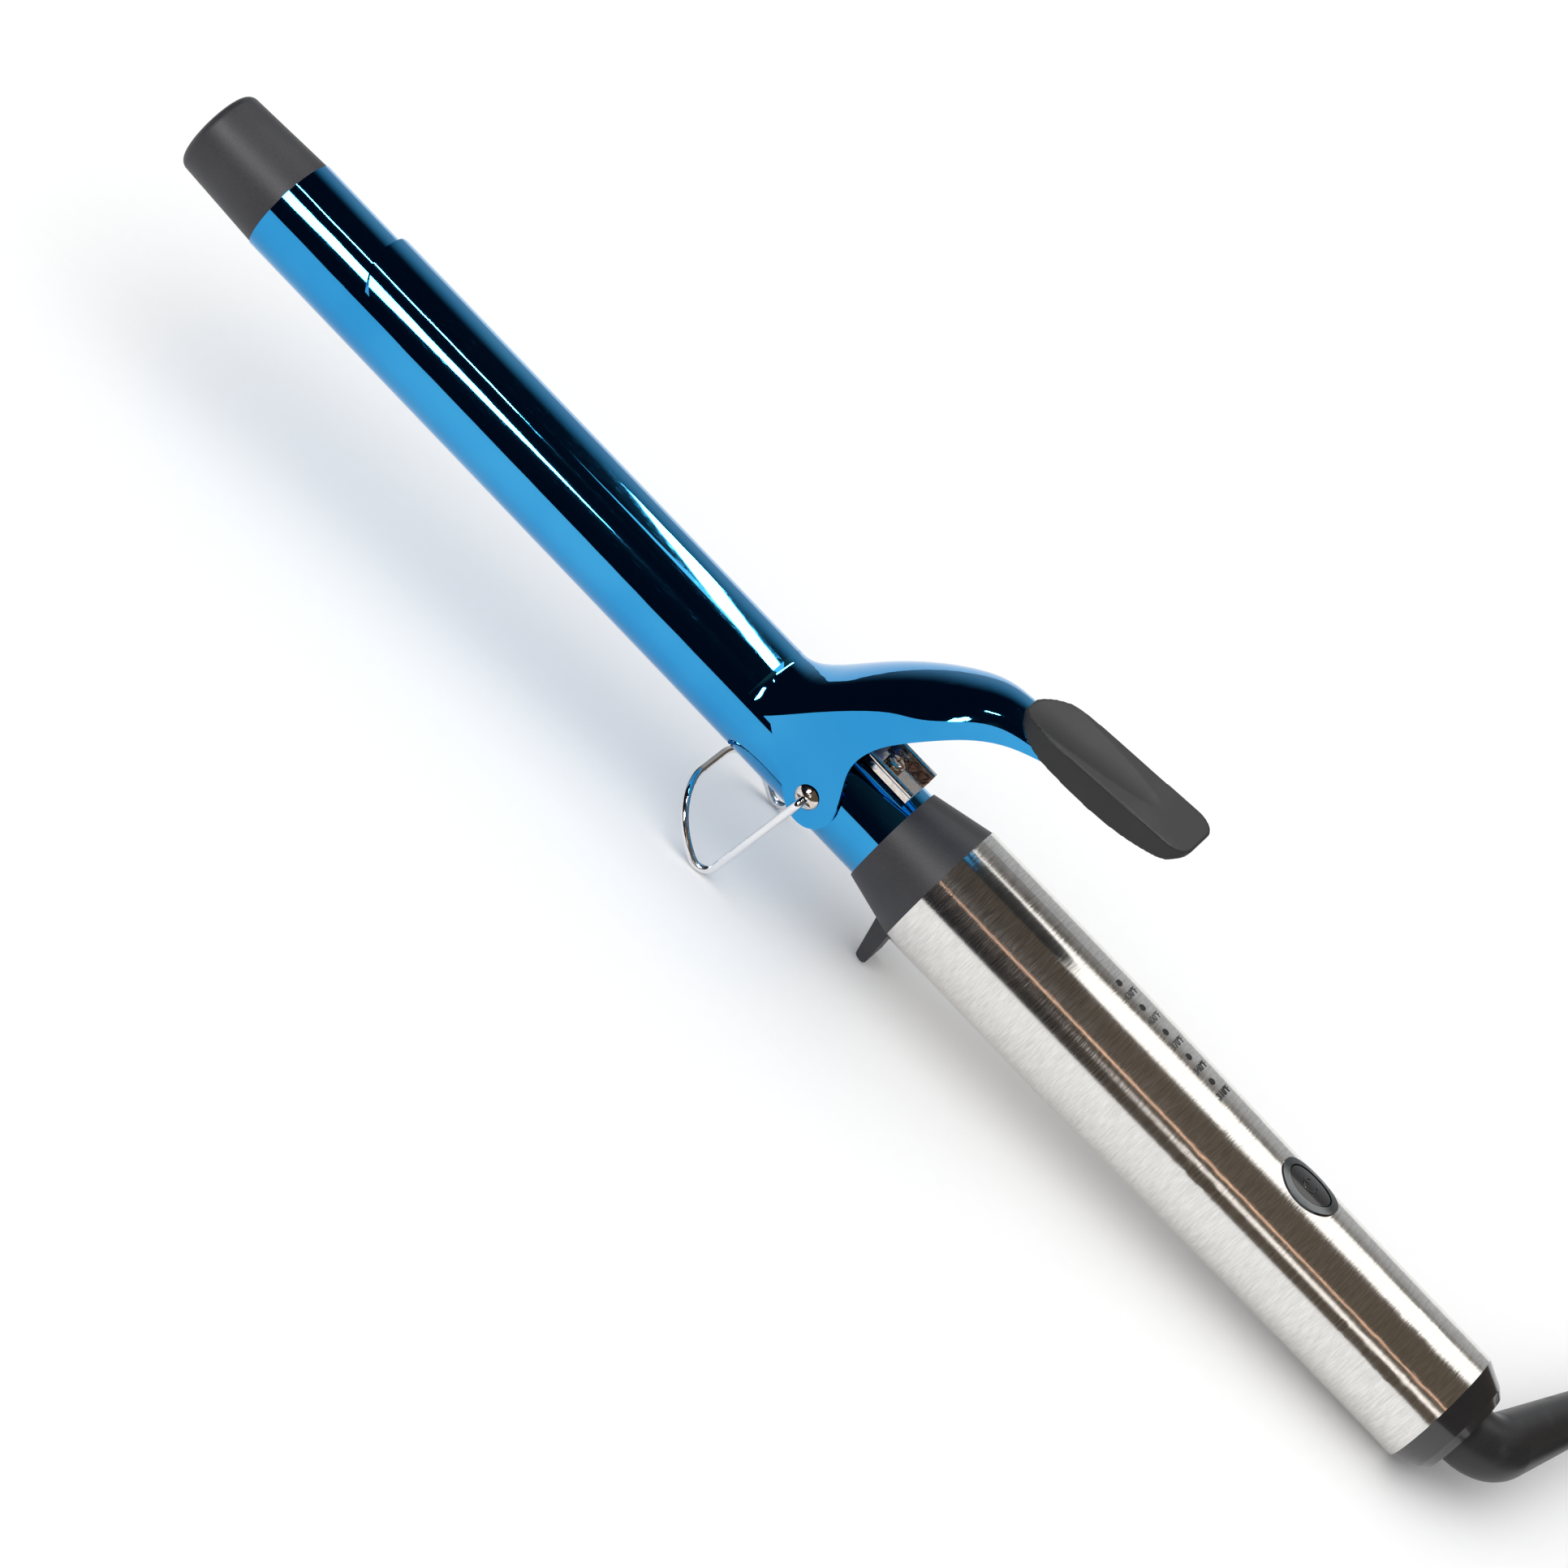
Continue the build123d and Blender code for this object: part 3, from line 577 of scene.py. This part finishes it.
# Cord tie
# Woven nylon hook-and-loop strap, wrapped once around the eight turns and pressed over its own end.
# It holds the coil as it was put away.
tie_turn = radians(250)
tie_out = Vector((cos(tie_turn), sin(tie_turn), 0))
tie_on = Vector((-sin(tie_turn), cos(tie_turn), 0))
tie_fabric, webbing, place = finish("tie_fabric", {"Specular IOR Level": 0.3})
weave_place = place.node("Mapping", {}, {"Vector": place, "Rotation": (0, 0, -tie_turn)})
warp = weave_place.node("TexWave", {"bands_direction": "X"}, {"Vector": weave_place, "Scale": 420}, 1)
weft = weave_place.node("TexWave", {"bands_direction": "Y"}, {"Vector": weave_place, "Scale": 320}, 1)
weave = (warp + weft) * 0.5
fuzz = place.noise(3000, 4)
shade = weave * 0.6 + fuzz * 0.4
feed(webbing["Base Color"], shade.blend((0.010, 0.010, 0.011), (0.050, 0.050, 0.053)))
feed(webbing["Roughness"], 0.75 + fuzz * 0.2)
feed(webbing["Normal"], (weave + fuzz * 0.6).bump(0.00018))
strap_half_width = 6
strap_half_height = 7.25
coil_middle_radius = 0.0385
coil_middle_height = 0.0078
for name, half_long, lift in (("tie_strap", 14.2, 0.0), ("tie_end", 5.0, 0.75)):
    bpy.ops.object.select_all(action="DESELECT")
    bpy.ops.mesh.primitive_cube_add(size=0.002, location=(0, 0, 0))
    strap = bpy.context.object
    bpy.ops.object.mode_set(mode="EDIT")
    bpy.ops.mesh.select_all(action="SELECT")
    half_sizes = (half_long, strap_half_width, strap_half_height)
    bpy.ops.transform.resize(value=half_sizes, center_override=(0, 0, 0))
    bpy.ops.mesh.select_mode(type="FACE")
    bpy.ops.mesh.select_all(action="DESELECT")
    bpy.ops.object.mode_set(mode="OBJECT")
    for face in strap.data.polygons:
        face.select = abs(face.normal.y) > 0.9 or (lift > 0 and face.normal.z < 0.9)
    bpy.ops.object.mode_set(mode="EDIT")
    bpy.ops.mesh.delete(type="ONLY_FACE")
    bpy.ops.mesh.select_all(action="SELECT")
    bpy.ops.mesh.delete_loose(use_faces=False)
    bpy.ops.object.mode_set(mode="OBJECT")
    if lift == 0:
        modify(strap, "BEVEL", width=0.0042, segments=6, limit_method="ANGLE")
    alone(strap)
    bpy.ops.object.mode_set(mode="EDIT")
    bpy.ops.mesh.select_all(action="SELECT")
    bpy.ops.mesh.subdivide(number_cuts=2)
    bpy.ops.object.mode_set(mode="OBJECT")
    modify(strap, "SOLIDIFY", thickness=0.0007, offset=1)
    modify(strap, "BEVEL", width=0.0002, segments=2, limit_method="ANGLE")
    middle = coil_middle + tie_out * coil_middle_radius
    middle.z = coil_middle_height + lift / 1000
    strap.matrix_world = turned_from(tie_out, tie_on, Vector((0, 0, 1)), middle)
    complete(strap, name, tie_fabric, "iron")
    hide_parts("cord_tie")

# Table
# A plain pale sheet that the iron stands on, with a faint paper tooth.
bpy.ops.object.select_all(action="DESELECT")
bpy.ops.mesh.primitive_plane_add(size=30, location=(0, 0, 0))
table = bpy.context.object
table.name = "table"
table_material, sheet, place = finish("table", {"Specular IOR Level": 0.1})
feed(sheet["Base Color"], place.noise(300, 2).blend((0.93, 0.93, 0.93), (0.95, 0.95, 0.95)))
feed(sheet["Roughness"], 0.9)
table.data.materials.append(table_material)

# Room and lamps
# A dim room with a pale sheet hung behind the table, so that polished metal shows a bright lower half
# and a dark upper one. Soft daylight from above lights the table; narrow lamps draw the long glints.
world = bpy.data.worlds.new("room")
world.use_nodes = True
sky = world.node_tree.nodes["Background"]
direction = Signal(world.node_tree.nodes.new("ShaderNodeTexCoord").outputs["Generated"])
to_right, to_back, _ = direction.parts()
warm_side = to_right.step(-0.02, 0.10)
walls = warm_side.blend((0.006, 0.008, 0.014), (0.115, 0.092, 0.070))
hung_sheet = to_back.step(0.55, 1.0) * (1 - to_right.step(0.10, 0.30)) * 0.75
walls = hung_sheet.blend(walls, (0.62, 0.64, 0.66))
camera_ray = direction.node("LightPath")
diffuse_ray = direction.node("LightPath", out=2)
walls = diffuse_ray.blend(walls, (0.66, 0.66, 0.66))
feed(sky.inputs["Color"], camera_ray.blend(walls, (0.95, 0.95, 0.95)))
feed(sky.inputs["Strength"], 1.0)
bpy.context.scene.world = world
bpy.context.scene.view_settings.view_transform = "Standard"

daylight_data = bpy.data.lights.new("daylight", "SUN")
daylight_data.energy = 1.55
daylight_data.angle = radians(110)
daylight = bpy.data.objects.new("daylight", daylight_data)
daylight.matrix_world = turned_from((1, 0, 0), (0, 0.94, 0.34), (0, -0.34, 0.94), (0, 0, 3))
daylight.visible_glossy = False
bpy.context.collection.objects.link(daylight)


def lamp(name, first, last, width, brightness, colour):
    """A long lamp between two points, facing the iron, of this brightness to the eye."""
    first, last = Vector(first), Vector(last)
    middle = (first + last) / 2
    data = bpy.data.lights.new(name, "AREA")
    data.shape = "RECTANGLE"
    data.size = (last - first).length
    data.size_y = width
    data.energy = brightness * pi * data.size * width
    data.color = colour
    long_way = (last - first).normalized()
    back = (middle - at(0, 0, 0)).normalized()
    back = (back - long_way * back.dot(long_way)).normalized()
    light = bpy.data.objects.new(name, data)
    light.matrix_world = turned_from(long_way, back.cross(long_way), back, middle)
    light.visible_diffuse = False
    bpy.context.collection.objects.link(light)


lamp("tip_window", (-0.47, -0.84, 0.98), (-0.29, -0.92, 0.88), 0.50, 30, (1, 1, 1))
lamp("clip_line", (-0.37, -0.28, 1.25), (-0.19, -0.28, 1.25), 0.025, 60, (1, 1, 1))
lamp("clip_window", (-0.13, 0.90, 0.86), (-0.00, -0.02, 1.26), 0.05, 40, (1, 1, 1))
lamp("handle_window", (0.12, 0.55, 1.12), (0.52, 0.30, 1.22), 1.00, 1.5, (1, 0.99, 0.97))
lamp("handle_glint", (0.05, -1.05, 0.84), (0.50, -1.05, 0.84), 0.014, 6, (1, 0.62, 0.42))
lamp("handle_low", (0.22, -1.13, 0.52), (0.52, -1.13, 0.52), 0.16, 1.4, (1, 0.96, 0.93))
